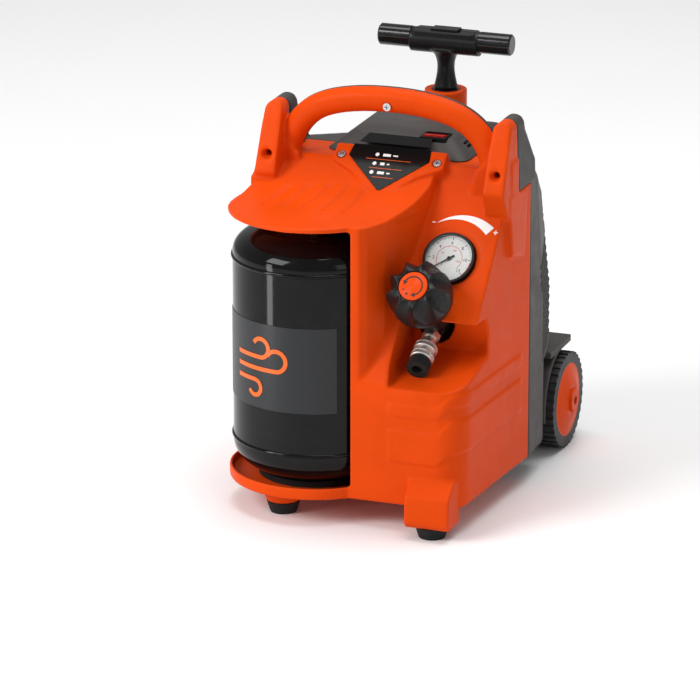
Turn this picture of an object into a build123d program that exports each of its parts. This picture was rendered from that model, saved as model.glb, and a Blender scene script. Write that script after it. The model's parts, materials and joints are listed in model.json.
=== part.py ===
from build123d import *
from math import atan2, cos, radians, sin, tan
import os

# Portable air compressor with an upright tank, a carry handle, a pull-up T handle and two wheels.
# Millimetres. +X is to the right of someone facing the front, +Y runs to the back, +Z is up.
# The origin is on the floor, under the middle of the machine's box.

# ---- tank ----
TANK_X, TANK_Y = -54.0, -102.0
TANK_R = 82.0
TANK_WALL = 2.5
TANK_LOW_SEAM, TANK_HIGH_SEAM = 72.0, 256.0
TANK_BOTTOM, TANK_TOP = 34.0, 286.0
KNUCKLE_R, KNUCKLE_START = 34.0, 4.0
STICKER_LOW, STICKER_HIGH, STICKER_CHORD = 116.0, 203.0, 130.0
BAY_R = 86.5
TRAY_R = 86.0

# ---- housing ----
WALL = 3.0
BASE_Z = 28.0
DECK_Z = 338.0
FRONT_Y = -166.0
SEAM_Y = 12.0
BACK_Y = 152.0
REAR_TAPER_Z, REAR_SLOPE = 180.0, 49.0
BAY_EDGE_X = 4.0
LIP_Z = 300.0
ROOF_LINE = [(-200, 303.5), (-150, 306.5), (-104, 309.5), (-72, 317), (-38, 338)]
CORNER_R = 28.0
HUMP_FOOT_Y, HUMP_TOP_Y = -73.0, -28.0
HUMP_FOOT_Z, HUMP_TOP_Z = 316.0, 350.0
LABEL_HALF, LABEL_SHOULDER, LABEL_TOP = 42.0, 42.0, 56.0
LABEL_DEPTH = 1.6

# ---- reclined control panel ----
TILT = 36.0
PANEL_FOOT_Z = 150.0
PANEL_TOP_Z = 325.0
KNOB_X, KNOB_UP = 68.0, 86.0
GAUGE_X, GAUGE_UP = 80.0, 135.0
GAUGE_R, BEZEL = 26.0, 2.2
NEEDLE_TURN = 125.0
KNOB_REAR_R, KNOB_FRONT_R, KNOB_LENGTH, KNOB_LOBES = 32.0, 24.0, 44.0, 9
KNOB_START, CAP_R = 10.0, 14.5
REGULATOR_R = 20.5
COUPLER_DROP = 28.0
COUPLER_START = (68.0, -102.0, 186.5)
TIP_R = 11.0

# ---- carry handle and horns ----
GROOVE_DEPTH = 1.5
HANDLE_Y = -33.0
HANDLE_R = 13.0
CROWN_Z = 399.5
HORN_X = 119.0
HORN_HALF = 12.0
HORN_TOP_HALF = 9.5
HORN_TOP_Z = 390.0
HORN_SPLIT_Y = -26.0
HORN_HOLE_R, HORN_HOLE_Z, HORN_FACE_Y = 3.5, 341.0, -62.0

# ---- wheels ----
WHEEL_Y, WHEEL_R = 138.0, 50.0
WHEEL_IN_X, WHEEL_OUT_X = 99.0, 132.0
RIM_R = 38.0
AXLE_R = 6.0
WELL_X = 94.0
FENDER_R = 55.0

# ---- pull-up T handle ----
STEM_Y = 130.0
STEM_R = 7.0
GUIDE_R = 10.0
GUIDE_BORE_R = 7.1
BAR_Z = 421.0
BAR_HALF = 70.5
GRIP_R = 11.0
CORE_HALF = 36.5

# ---- motor and pump ----
SHAFT_Y, SHAFT_Z = 54.0, 156.0
SHAFT_R = 7.0
CRANK_THROW = 9.0
PUMP_X = 47.0
BORE_R = 25.0
PUMP_BASE_Z = 150.0
PIPE_Z = 296.5
RELIEF_X, RELIEF_Y = 56.0, -26.0

UP = (Align.CENTER, Align.CENTER, Align.MIN)


# ---- small helpers ----
def block(x0, x1, y0, y1, z0, z1):
    return Pos((x0 + x1) / 2, (y0 + y1) / 2, (z0 + z1) / 2) * Box(x1 - x0, y1 - y0, z1 - z0)


def drum_z(x, y, z0, z1, radius):
    return Pos(x, y, z0) * Cylinder(radius, z1 - z0, align=UP)


def drum_x(x0, x1, y, z, radius):
    return Pos(x0, y, z) * Rot(0, 90, 0) * Cylinder(radius, x1 - x0, align=UP)


def drum_y(x, y0, y1, z, radius):
    return Pos(x, y0, z) * Rot(-90, 0, 0) * Cylinder(radius, y1 - y0, align=UP)


def slab_x(points, x0, x1):
    """A (Y, Z) outline extruded from x0 to x1."""
    return extrude(Plane.YZ.offset(x0) * make_face(Polyline(*points, close=True)), x1 - x0)


def slab_y(points, y0, y1):
    """An (X, Z) outline extruded from y0 to y1."""
    return extrude(Plane.XZ.offset(-y0) * make_face(Polyline(*points, close=True)), y0 - y1)


def slab_z(points, z0, z1):
    """An (X, Y) outline extruded from z0 to z1."""
    return extrude(Plane.XY.offset(z0) * make_face(Polyline(*points, close=True)), z1 - z0)


def ring(outer, inner):
    return outer - inner


def mirrored(shape):
    return shape + mirror(shape, Plane.YZ)


def tube(points, radius, bore, bend):
    path = FilletPolyline(*points, radius=bend)
    start = Plane(origin=path @ 0, z_dir=path % 0)
    return sweep(start * (Circle(radius) - Circle(bore)), path)


def panel_y(z):
    """Y of the reclined panel's face at height z."""
    return FRONT_Y + (z - PANEL_FOOT_Z) * tan(radians(TILT))


def panel(x, up):
    """A plane on the reclined panel, x across and up along it from its foot, facing out."""
    y = FRONT_Y + up * sin(radians(TILT))
    z = PANEL_FOOT_Z + up * cos(radians(TILT))
    return Plane(origin=(x, y, z), x_dir=(1, 0, 0), z_dir=(0, -cos(radians(TILT)), sin(radians(TILT))))


def disc(plane, low, high, radius):
    return plane.offset(low).location * Cylinder(radius, high - low, align=UP)


def outlet():
    """The plane that the quick coupler is built on, facing the way a plug leaves."""
    drop = radians(COUPLER_DROP)
    return Plane(origin=COUPLER_START, x_dir=(1, 0, 0), z_dir=(0, -cos(drop), -sin(drop)))


def hump():
    """The plane of the label on the hump, facing out."""
    rise = atan2(HUMP_TOP_Z - HUMP_FOOT_Z, HUMP_TOP_Y - HUMP_FOOT_Y)
    return Plane(origin=(0, HUMP_FOOT_Y, HUMP_FOOT_Z), x_dir=(1, 0, 0), z_dir=(0, -sin(rise), cos(rise)))


# ---- screws ----
SCREW_HEAD_R, SCREW_HEAD, SCREW_SHANK_R, SCREW_LENGTH = 4.0, 2.5, 1.7, 14.0


def screw_planes():
    handle = Plane(origin=(0, HANDLE_Y - HANDLE_R + 1.5, CROWN_Z - 4.5), x_dir=(1, 0, 0), z_dir=(0, -1, 0))
    spots = [handle]
    for side in (-1, 1):
        spots.append(Plane(hump().offset(-3.0).location * Pos(side * 50.0, 42.0, 0)))
        for z in (90.0, 180.0, 265.0):
            spots.append(Plane(origin=(side * 48.0, BACK_Y - 3.0, z), x_dir=(1, 0, 0), z_dir=(0, 1, 0)))
    return spots


def screw(plane):
    head = disc(plane, 0, SCREW_HEAD, SCREW_HEAD_R)
    head -= plane.offset(SCREW_HEAD - 1.0).location * Box(1.2, 4.6, 2.2)
    head -= plane.offset(SCREW_HEAD - 1.0).location * Box(4.6, 1.2, 2.2)
    return head + disc(plane, -SCREW_LENGTH, 0, SCREW_SHANK_R)


def housing_screws():
    return Compound(children=[screw(plane) for plane in screw_planes()])


def screw_holes():
    cut = []
    for plane in screw_planes():
        cut.append(disc(plane, 0, 12.0, SCREW_HEAD_R + 0.5))
        cut.append(disc(plane, -SCREW_LENGTH - 1.0, 0, SCREW_SHANK_R + 0.05))
    return cut


# ---- tank ----
def tank_form(inset):
    """The tank's outside, or its inside when inset: shallow ends with rounded knuckles."""
    radius, wide = TANK_R - inset, KNUCKLE_R - inset
    flat = radius - wide
    ends = ((TANK_LOW_SEAM, TANK_BOTTOM + inset, -1, 270), (TANK_HIGH_SEAM, TANK_TOP - inset, 1, 0))
    lines = []
    for seam, pole, way, arc_start in ends:
        start = seam + way * KNUCKLE_START
        tall = 0.87 * abs(pole - start)
        brow = start + way * tall
        lines.append(EllipticalCenterArc((flat, start), wide, tall, arc_start))
        lines.append(ThreePointArc((flat, brow), (flat / 2, (brow + 3 * pole) / 4), (0, pole)))
    lines.append(Line((radius, TANK_LOW_SEAM - KNUCKLE_START), (radius, TANK_HIGH_SEAM + KNUCKLE_START)))
    lines.append(Line((0, TANK_BOTTOM + inset), (0, TANK_TOP - inset)))
    return Pos(TANK_X, TANK_Y, 0) * revolve(Plane.XZ * make_face(lines), Axis.Z)


def air_tank():
    tank = tank_form(0)
    for z in (TANK_LOW_SEAM, TANK_HIGH_SEAM):
        tank += Pos(TANK_X, TANK_Y, z) * Torus(TANK_R - 0.4, 2.0)
    tank -= tank_form(TANK_WALL)
    tank += drum_z(TANK_X, TANK_Y, TANK_TOP - 3, TANK_TOP + 4, 12.0)
    tank -= drum_z(TANK_X, TANK_Y, TANK_TOP - 5, TANK_TOP + 5, 7.0)
    tank -= drum_z(TANK_X, TANK_Y, TANK_BOTTOM - 1, TANK_BOTTOM + 4, 5.0)
    return tank


def tank_label():
    """A wrap-round sticker, a thin curved plate on the front of the tank."""
    band = ring(drum_z(TANK_X, TANK_Y, STICKER_LOW, STICKER_HIGH, TANK_R + 0.45),
                drum_z(TANK_X, TANK_Y, STICKER_LOW - 1, STICKER_HIGH + 1, TANK_R + 0.05))
    front = Pos(TANK_X, TANK_Y, 160) * Rot(0, 0, -17) * Pos(0, -TANK_R, 0)
    return band & front * Box(STICKER_CHORD, 110, 110)


def tank_cushion():
    return ring(drum_z(TANK_X, TANK_Y, BASE_Z + WALL, 37.3, 57.0), drum_z(TANK_X, TANK_Y, 30, 42, 46.0))


def drain_valve():
    stem = drum_z(TANK_X, TANK_Y, 20.0, TANK_BOTTOM + 3.5, 4.9)
    nut = extrude(Plane.XY.offset(24.0) * Pos(TANK_X, TANK_Y) * RegularPolygon(8.5, 6), 8.0)
    return stem + nut


def drain_knob():
    body = drum_z(TANK_X, TANK_Y, 11.0, 23.5, 7.5)
    wings = block(TANK_X - 15, TANK_X + 15, TANK_Y - 2, TANK_Y + 2, 12.0, 22.0)
    return body + wings - drum_z(TANK_X, TANK_Y, 19.5, 24.0, 4.96)


def check_valve():
    neck = TANK_TOP + 4.0
    body = drum_z(TANK_X, TANK_Y, TANK_TOP - 3.0, neck, 6.9)
    body += extrude(Plane.XY.offset(neck) * Pos(TANK_X, TANK_Y) * RegularPolygon(11.0, 6), 12.0)
    body -= drum_x(TANK_X + 4.0, TANK_X + 14.0, TANK_Y, PIPE_Z, 3.0)
    return body - drum_y(TANK_X, TANK_Y + 4.0, TANK_Y + 14.0, PIPE_Z, 4.0)


# ---- front shell ----
def right_plan(inset, z0, z1):
    """The right-hand half of the housing seen from above, its front corner rounded."""
    face = make_face(Polyline((-20, FRONT_Y + inset), (118 - inset, FRONT_Y + inset), (127 - inset, -32),
                              (131 - inset, SEAM_Y), (-20, SEAM_Y), close=True))
    corner = face.vertices().sort_by_distance((118 - inset, FRONT_Y + inset, 0))[0]
    return extrude(Plane.XY.offset(z0) * fillet(corner, CORNER_R - inset), z1 - z0)


def control_block(inset):
    """The right-hand half of the front, with the reclined panel above its straight foot."""
    lean = inset / cos(radians(TILT))
    top_y = panel_y(PANEL_TOP_Z) + lean
    side = [(FRONT_Y + inset, BASE_Z + inset), (FRONT_Y + inset, PANEL_FOOT_Z - inset / 3),
            (top_y, PANEL_TOP_Z), (top_y + 6, DECK_Z - inset), (SEAM_Y, DECK_Z - inset),
            (SEAM_Y, BASE_Z + inset)]
    return slab_x(side, BAY_EDGE_X - 20, 140) & right_plan(inset, 0, 400)


def back_block(inset):
    """The part behind the tank, from side to side."""
    plan = [(-131 + inset, SEAM_Y), (-127 + inset, -32), (-122 + inset, -72 + inset), (40, -72 + inset),
            (40, SEAM_Y)]
    return slab_z(plan, BASE_Z + inset, DECK_Z - inset) - roof_cut(-inset)


def roof_cut(height):
    """Everything above the visor's roof, which sweeps up from its lip to the label."""
    start, end = ROOF_LINE[0], ROOF_LINE[-1]
    roof = [Spline(*ROOF_LINE), Polyline(end, (end[0], 500), (start[0], 500), start)]
    return Pos(0, 0, height) * extrude(Plane.YZ.offset(-200) * make_face(roof), 400)


def side_slope():
    """What is taken off the visor's left edge, so that it falls away to the lip."""
    return slab_y([(-145, LIP_Z + 3), (-134, LIP_Z + 5), (-112, DECK_Z + 8), (-145, DECK_Z + 8)], -200, -70)


def visor():
    plan = [(-131, SEAM_Y), (-136, -80), (-138, TANK_Y), (TANK_X, TANK_Y), (46, -60), (46, SEAM_Y)]
    form = drum_z(TANK_X, TANK_Y, LIP_Z, DECK_Z, TRAY_R) + slab_z(plan, LIP_Z, DECK_Z)
    valley_side = [(14, FRONT_Y), (21, -160), (32, -140), (35, -122), (50, -55)]
    form += slab_z([(TANK_X, TANK_Y), (TANK_X, TANK_Y - 60)] + valley_side, LIP_Z, DECK_Z)
    return form - roof_cut(0) - side_slope()


def rim_column(inset):
    """The upright between the tank bay and the control panel, its right side falling away in a valley."""
    plan = [(-30, FRONT_Y + inset), (14 - inset, FRONT_Y + inset), (21 - inset, -160 + inset),
            (32 - inset, -140), (35 - inset, -122), (38.5 - inset, -102), (50 - inset, -55),
            (50 - inset, -30), (-30, -30)]
    return slab_z(plan, BASE_Z + inset, DECK_Z - inset) - roof_cut(-inset)


def tray():
    return drum_z(TANK_X, TANK_Y, BASE_Z, 40, TRAY_R)


def hump_form(inset):
    """The raised frame round the V of the label, with an ear for a screw at each side."""
    ear = 58 - inset
    outline = [(0, -12 + 1.4 * inset), (34 - inset, 22), (ear, 35 + inset), (ear, 56), (-ear, 56),
               (-ear, 35 + inset), (-34 + inset, 22)]
    plate = make_face(Polyline(*outline, close=True))
    form = extrude(hump().offset(-40) * plate, 40 - inset)
    return form & block(-200, 200, -100, HUMP_TOP_Y + 4, 290, HUMP_TOP_Z - 1.25 * inset)


def horn_view(low, grow):
    """A right-hand horn seen from the front: it narrows upwards to a round top."""
    wide, narrow = HORN_HALF + grow, HORN_TOP_HALF + grow
    top = HORN_TOP_Z - HORN_TOP_HALF
    sides = Polyline((HORN_X - narrow, top), (HORN_X - wide, low), (HORN_X + wide, low),
                     (HORN_X + narrow, top))
    crown = ThreePointArc((HORN_X + narrow, top), (HORN_X, top + narrow), (HORN_X - narrow, top))
    return make_face([sides, crown])


def horn(side):
    """One orange horn, leaning back to its round top, with a flat round its hook hole."""
    foot_z = 290 if side > 0 else LIP_Z
    outline = [(-50, foot_z), (-62, 301), (-74, 324), (-52, 374), (-44, HORN_TOP_Z),
               (HORN_SPLIT_Y, HORN_TOP_Z), (HORN_SPLIT_Y, foot_z)]
    shape = extrude(Plane.XZ.offset(100) * horn_view(foot_z, 0), -100)
    shape &= slab_x(outline, HORN_X - 20, HORN_X + 20)
    shape -= horn_hole(1)
    return shape if side > 0 else mirror(shape, Plane.YZ)


def side_rib():
    """A raised rib that carries the line of the right-hand horn down the side."""
    return slab_x([(-54, 300), (-46, 254), (-8, 247), (-2, 300), (-2, 316), (-54, 316)], 112, 131.5)


def horn_hole(side):
    flat = drum_y(side * HORN_X, -110, HORN_FACE_Y, HORN_HOLE_Z, HORN_HOLE_R + 2.0)
    return flat + drum_y(side * HORN_X, -110, HORN_SPLIT_Y, HORN_HOLE_Z, HORN_HOLE_R)


def handle_arch():
    half = [(106, 342), (98, 365), (81, 383), (50, 395)]
    points = [(-x, HANDLE_Y, z) for x, z in half]
    points += [(0, HANDLE_Y, CROWN_Z)] + [(x, HANDLE_Y, z) for x, z in reversed(half)]
    path = Spline(*points)
    start = Plane(origin=path @ 0, z_dir=path % 0)
    return sweep(start * Circle(HANDLE_R), path)


def shoulder(side):
    """The sloping web between a horn's foot and the handle's foot."""
    shape = slab_y([(86, 306), (131, 306), (131, 350), (108, 352), (93, 340)], -47, HORN_SPLIT_Y)
    return shape if side > 0 else mirror(shape, Plane.YZ)


def outrigger():
    """The block that reaches forward of the front face over the right-hand foot."""
    side = [(-150, 12), (-182, 12), (-186, 18), (-184, 44), (FRONT_Y, 58), (-150, 58)]
    return slab_x(side, 68, 114)


def foot_boss():
    return Pos(-72, -146, 12) * Cone(17.0, 24.0, 17.0, align=UP)


def ridge(z0, z1):
    """A raised band on the lower front that steps up as it turns the right-hand corner."""
    step, rise = 96, 13
    band = [(46, z0), (step, z0), (step + rise, z0 + rise), (140, z0 + rise), (140, z1 + rise),
            (step + rise, z1 + rise), (step, z1), (46, z1)]
    return slab_y(band, -172, -10) & right_plan(-2, z0, z1 + rise)


def alcove(grow):
    """The pocket under the control panel, open at the right, where the quick coupler hangs."""
    side = [(-200, 137.5 - grow), (-86 + grow, 168 - grow), (-98 + grow, 206 + grow), (-200, 206 + grow)]
    plan = [(50 - grow, -200), (42 - grow, -150), (46 - grow, -80 + grow), (96 + grow, -80 + grow),
            (150, -106 + grow), (150, -200)]
    return slab_x(side, 20, 140) & slab_z(plan, 100, 300)


def facets():
    """Shallow grooves that rib the visor's roof."""
    cuts = []
    for x, turn, length in ((-104, -14, 52), (-84, -12, 58), (-62, -10, 62), (-40, -7, 64), (-18, -4, 58)):
        outline = [(-1.2, 0), (9, 6), (9, length), (-1.2, length)]
        groove = Pos(x, -128, 0) * Rot(0, 0, turn) * slab_z(outline, 280, 330)
        cuts.append(groove & (roof_cut(-GROOVE_DEPTH) - roof_cut(6)))
    return cuts


def front_form():
    form = control_block(0) + back_block(0) + rim_column(0) + tray()
    form -= drum_z(TANK_X, TANK_Y, 40, 330, BAY_R)
    form -= block(-200, BAY_EDGE_X, -220, -75, 40, 330)
    form += visor() + hump_form(0) + outrigger() + foot_boss()
    form += ridge(120, 131) + ridge(73, 105) + side_rib()
    for side in (-1, 1):
        form += shoulder(side)
        form += horn(side)
    return form + (handle_arch() & block(-200, 200, -100, HANDLE_Y, 300, 500))


def front_cavity():
    """The hollow inside the front shell, open to the rear shell."""
    inside = control_block(WALL) + back_block(WALL) + rim_column(WALL)
    inside += block(-127, 127, -12, SEAM_Y + 1, BASE_Z + WALL, DECK_Z - WALL)
    inside -= drum_z(TANK_X, TANK_Y, 0, 400, BAY_R + WALL)
    return inside - alcove(WALL) + hump_form(WALL)


def bay_hollow():
    """The space that the tank stands in, from the tray's floor to the underside of the visor's roof."""
    hollow = drum_z(TANK_X, TANK_Y, BASE_Z + WALL, DECK_Z - WALL, TRAY_R - WALL) - roof_cut(-WALL)
    under_slope = [(-160, LIP_Z - WALL), (-131, LIP_Z - WALL), (-112, DECK_Z), (-160, DECK_Z)]
    return hollow - slab_y(under_slope, -200, -60)


def panel_cuts():
    """Holes for the gauge and the regulator, and the groove round the gauge."""
    gauge, knob = panel(GAUGE_X, GAUGE_UP), panel(KNOB_X, KNOB_UP)
    return [disc(gauge, -60, 20, GAUGE_R + 0.4), ring(disc(gauge, -1.2, 20, 32), disc(gauge, -3, 21, 29)),
            disc(knob, -60, 30, REGULATOR_R + 0.4), disc(outlet(), -30, 20, 10.4)]


def front_shell():
    shell = front_form() - front_cavity() - bay_hollow() - alcove(0)
    for cut in facets() + panel_cuts() + screw_holes():
        shell -= cut
    for side in (-1, 1):
        shell -= horn_back(side, 0.15)
        shell -= horn_hole(side)
    shell -= mirrored(block(HORN_X, 140, HORN_SPLIT_Y + 1, SEAM_Y + 1, 315.85, 345))
    shell -= label_form(0.1)
    shell -= drum_z(TANK_X, TANK_Y, 0, 40, 18)
    shell -= drum_y(TANK_X, -60, 0, PIPE_Z, 5.0) + drum_y(2, -60, 0, PIPE_Z, 6.0)
    return shell - switch_well()


# ---- rear shell, cover, label, handle back ----
def horn_back(side, grow):
    """One grey horn back, joined to the rear shell below."""
    low = 316 - grow
    rear_y = SEAM_Y + 14
    top = HORN_TOP_Z + grow
    outline = [(HORN_SPLIT_Y, low), (HORN_SPLIT_Y, top), (-6, top), (-1, 372), (rear_y, DECK_Z),
               (rear_y, low)]
    shape = extrude(Plane.XZ.offset(50) * horn_view(low, grow), -100)
    shape &= slab_x(outline, HORN_X - 20, HORN_X + 20)
    return shape if side > 0 else mirror(shape, Plane.YZ)


def switch_well():
    return block(17, 49, -7, 19, 320, 345)


def rear_plan(inset, z, half_widths):
    """An outline of the rear shell at one height, from a list of (half width, Y)."""
    right = [(x - inset, y - inset if y > SEAM_Y + 60 else y) for x, y in half_widths]
    left = [(-x, y) for x, y in reversed(right)]
    return Plane.XY.offset(z) * make_face(Polyline(*right, *left, close=True))


def rear_form(inset):
    low = [(131, SEAM_Y), (129, 60), (118, 116), (98, 144), (80, BACK_Y)]
    high = [(130, SEAM_Y), (123, 50), (108, 95), (82, 130), (56, BACK_Y)]
    form = extrude(rear_plan(inset, 0, low), REAR_TAPER_Z)
    form += loft([rear_plan(inset, REAR_TAPER_Z, low), rear_plan(inset, 345, high)], ruled=True)
    side = [(SEAM_Y, BASE_Z + inset), (126, BASE_Z + inset), (BACK_Y - inset, 56 + inset),
            (BACK_Y - inset, 322 - inset), (SEAM_Y, DECK_Z - inset)]
    form &= slab_x(side, -200, 200)
    return form - rear_corner_cuts(inset)


def rear_corner_cuts(inset):
    """The steep slope that takes off each rear top corner."""
    corner = Pos(76.5, 76.5, 331 - 1.5 * inset) * Rot(0, 0, 45) * Rot(0, REAR_SLOPE, 0)
    return mirrored(corner * Pos(0, 0, 100) * Box(300, 300, 200))


def wheel_well(inset):
    box = block(WELL_X - inset, 200, 72 - inset, 200, 0, 112 + inset)
    return mirrored(box)


def fenders():
    arch = ring(drum_x(WELL_X - 1, 126, WHEEL_Y, WHEEL_R, FENDER_R + 4),
                drum_x(WELL_X - 2, 127, WHEEL_Y, WHEEL_R, FENDER_R))
    arch &= block(0, 200, 70, WHEEL_Y, 40, 130)
    top = block(WELL_X - 1, 126, WHEEL_Y - 40, WHEEL_Y + 26, WHEEL_R + FENDER_R, 112)
    top -= drum_x(WELL_X - 2, 127, WHEEL_Y, WHEEL_R, FENDER_R)
    return mirrored(arch + top)


def slat_cuts():
    """Rows of slots in the rear shell's two back corners."""
    cuts = []
    for row in range(7):
        cuts.append(Pos(116, 128, 256 + row * 8.0) * Rot(14, 0, -35) * Box(40, 46, 3.6))
    for row in range(12):
        cuts.append(Pos(122, 92, 126 + row * 9.2) * Rot(20, 0, -9) * Box(24, 80, 4.8))
    return cuts + [mirror(cut, Plane.YZ) for cut in cuts]


def rear_shell():
    cavity = rear_form(WALL) - wheel_well(WALL)
    shell = rear_form(0) - wheel_well(0) - cavity
    shell += fenders()
    for side in (-1, 1):
        shell += horn_back(side, 0)
    shell -= block(-104, 104, -60, SEAM_Y, 0, 500)
    for cut in slat_cuts():
        shell -= cut
    shell -= drum_x(-200, 200, WHEEL_Y, WHEEL_R, AXLE_R + 0.1)
    shell -= drum_z(0, STEM_Y, 300, 400, 21.6)
    shell -= drum_y(60, 140, 170, 74, 8.1)
    shell -= switch_well()
    for hole in screw_holes():
        shell -= hole
    return shell


def cover_form(inset):
    low = Plane.XY.offset(DECK_Z) * Pos(0, 46) * RectangleRounded(150 - 2 * inset, 136 - 2 * inset, 12)
    high = Plane.XY.offset(364) * Pos(0, 60) * RectangleRounded(84 - 2 * inset, 104 - 2 * inset, 12)
    crown = [(-24, HUMP_TOP_Z), (-8, 355), (22, 357), (50, 356), (84, 351), (120, 343)]
    side = [(-24 + inset, DECK_Z)] + [(y, z - 1.2 * inset) for y, z in crown] + [(120, DECK_Z)]
    side[1] = (-24 + inset, HUMP_TOP_Z - 1.4 * inset)
    side[-2:] = [(120 - inset, 343 - 1.2 * inset), (120 - inset, DECK_Z)]
    return loft([low, high]) & slab_x(side, -100, 100)


def top_cover():
    """The dark cover from the label back to the pull-up handle's sleeve."""
    form = cover_form(0) - cover_form(2.5)
    form -= block(-200, 200, -100, HUMP_TOP_Y + 4.2, 300, 400)
    form -= drum_z(0, STEM_Y, 300, 400, 21.6)
    for x in (56, 62, 68):
        form -= mirrored(Pos(x, 36, 350) * Rot(0, 40, 0) * Box(2.4, 52, 14))
    return form - block(19, 47, -5, 17, 330, 370)


def label_outline(grow):
    """The V of the label, from its tip up, in its own plane."""
    right = [(LABEL_HALF + grow, LABEL_SHOULDER), (LABEL_HALF - 2 + grow, LABEL_TOP + grow)]
    return [(0, 1 - grow * 2)] + right + [(-x, y) for x, y in reversed(right)]


def label_form(grow):
    plate = make_face(Polyline(*label_outline(grow), close=True))
    return extrude(hump().offset(-LABEL_DEPTH - grow) * plate, LABEL_DEPTH + grow)


def label_panel():
    return label_form(0) & block(-60, 60, -90, HUMP_TOP_Y, 300, HUMP_TOP_Z)


def handle_back():
    shape = handle_arch() & block(-200, 200, HANDLE_Y, 0, 346, 500)
    for side in (-1, 1):
        shape -= horn(side) + shoulder(side)
        shape -= horn_back(side, 0.15)
    for hole in screw_holes():
        shape -= hole
    return shape


# ---- controls ----
def gauge_case():
    plane = panel(GAUGE_X, GAUGE_UP)
    case = disc(plane, -24, 5, GAUGE_R)
    case -= disc(plane, 0.6, 6, GAUGE_R - BEZEL)
    case += disc(plane, -40, -24, 6.5)
    return case


def gauge_dial():
    plane = panel(GAUGE_X, GAUGE_UP)
    return ring(disc(plane, 0.6, 1.4, GAUGE_R - BEZEL - 0.1), disc(plane, 0, 2, 1.2))


def gauge_needle():
    plane = panel(GAUGE_X, GAUGE_UP)
    blade = make_face(Polyline((-1.0, -6), (1.0, -6), (0.35, 17), (-0.35, 17), close=True))
    needle = extrude(plane.offset(2.0).location * Rot(0, 0, NEEDLE_TURN) * blade, 0.5)
    return needle + disc(plane, 0.8, 3.0, 1.1) + disc(plane, 2.0, 3.0, 2.0)


def gauge_lens():
    return disc(panel(GAUGE_X, GAUGE_UP), 3.6, 4.5, GAUGE_R - BEZEL - 0.1)


def regulator_body():
    plane = panel(KNOB_X, KNOB_UP)
    body = disc(plane, -20, 9.0, REGULATOR_R) + disc(plane, 9.0, 24, 4.95) + disc(plane, -46, -20, 14.0)
    body += disc(outlet(), -22, 0, 10.0)
    body -= disc(outlet(), 0, 30, 10.5)
    return body - disc(outlet(), -3, 1, 7.0)


def knob_profile():
    """A ball-like knob, narrower at the front, its front edge scooped between the lobes."""
    plane = panel(KNOB_X, KNOB_UP).offset(KNOB_START)
    form = loft([plane * Circle(KNOB_REAR_R), plane.offset(KNOB_LENGTH * 0.45) * Circle(KNOB_REAR_R),
                 plane.offset(KNOB_LENGTH) * Circle(KNOB_FRONT_R)], ruled=True)
    for lobe in range(KNOB_LOBES):
        turn = plane.location * Rot(0, 0, 360 * lobe / KNOB_LOBES)
        form -= turn * Pos(KNOB_REAR_R + 1.5, 0, KNOB_LENGTH) * Rot(0, -62, 0) * Cylinder(7.0, 40)
    return form


def regulator_knob():
    plane = panel(KNOB_X, KNOB_UP)
    front = KNOB_START + KNOB_LENGTH
    knob = knob_profile() - disc(plane, 9, 25, 5.02)
    return knob - disc(plane, front - 2, front + 6, CAP_R + 0.1)


def knob_cap():
    front = KNOB_START + KNOB_LENGTH
    return disc(panel(KNOB_X, KNOB_UP), front - 2, front + 1, CAP_R)


def coupler_body():
    plane = outlet()
    body = disc(plane, -3, 18, 6.9) + extrude(plane.offset(2) * RegularPolygon(9.5, 6), 7)
    body += disc(plane, 18, 43, 8.0)
    return body - disc(plane, 13, 44, 5.1)


def coupler_sleeve():
    plane = outlet()
    sleeve = ring(disc(plane, 20, 38.5, 10.2), disc(plane, 19, 40, 8.1))
    sleeve += ring(disc(plane, 20, 26, 11.8), disc(plane, 19, 27, 8.1))
    return sleeve + ring(disc(plane, 32, 38, 11.8), disc(plane, 31, 39, 8.1))


def coupler_tip():
    plane = outlet()
    tip = ring(disc(plane, 39.5, 51, TIP_R), disc(plane, 39, 43, 8.0))
    return tip - disc(plane, 38, 52, 5.6)


def pressure_switch():
    body = block(18, 48, -6, 18, 304, 336) - block(20, 46, -4, 16, 306, 322)
    body += drum_y(33, -14, -6, 318, 4)
    body += block(19.3, 46.7, -4.7, 16.7, 336, 356.5)
    return body - block(21.5, 44.5, -2.5, 14.5, 345.5, 360)


def switch_rocker():
    side = [(-7.4, 353.0), (-7.4, 358.2), (0, 356.6), (7.4, 355.0), (7.4, 351.6), (0, 349.5)]
    return slab_x([(y + 6, z) for y, z in side], 22.2, 43.8) + drum_x(22.0, 44.0, 6, 351, 2.0)


def manifold():
    block_form = block(36, 66, -36, -16, 246, 268)
    block_form -= drum_y(58, -37, -28, 256, 4)
    return block_form


def safety_valve():
    form = drum_z(RELIEF_X, RELIEF_Y, 268, 284, 7) + drum_z(RELIEF_X, RELIEF_Y, 284, 296, 5)
    return form - drum_z(RELIEF_X, RELIEF_Y, 284, 297, 2.1)


def safety_pull():
    pin = drum_z(RELIEF_X, RELIEF_Y, 285, 300, 2.0)
    eye = Pos(RELIEF_X, RELIEF_Y, 308) * Rot(90, 0, 0)
    return pin + ring(eye * Cylinder(9, 2), eye * Cylinder(7.2, 3))


# ---- pipes ----
def delivery_pipe():
    route = [(TANK_X, TANK_Y + 5, PIPE_Z), (TANK_X, 4, PIPE_Z), (PUMP_X, 4, PIPE_Z), (PUMP_X, 40, PIPE_Z),
             (PUMP_X, 40, 267)]
    return tube(route, 3.8, 2.6, 8)


def outlet_hose():
    route = [(TANK_X + 11.1, TANK_Y, PIPE_Z), (2, TANK_Y, PIPE_Z), (2, -26, PIPE_Z), (2, -26, 257),
             (36, -26, 257)]
    return tube(route, 4.5, 3.0, 9)


# ---- motor and pump ----
def stator():
    core = ring(drum_x(-68, -10, SHAFT_Y, SHAFT_Z, 52), drum_x(-69, -9, SHAFT_Y, SHAFT_Z, 31))
    return core


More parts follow.
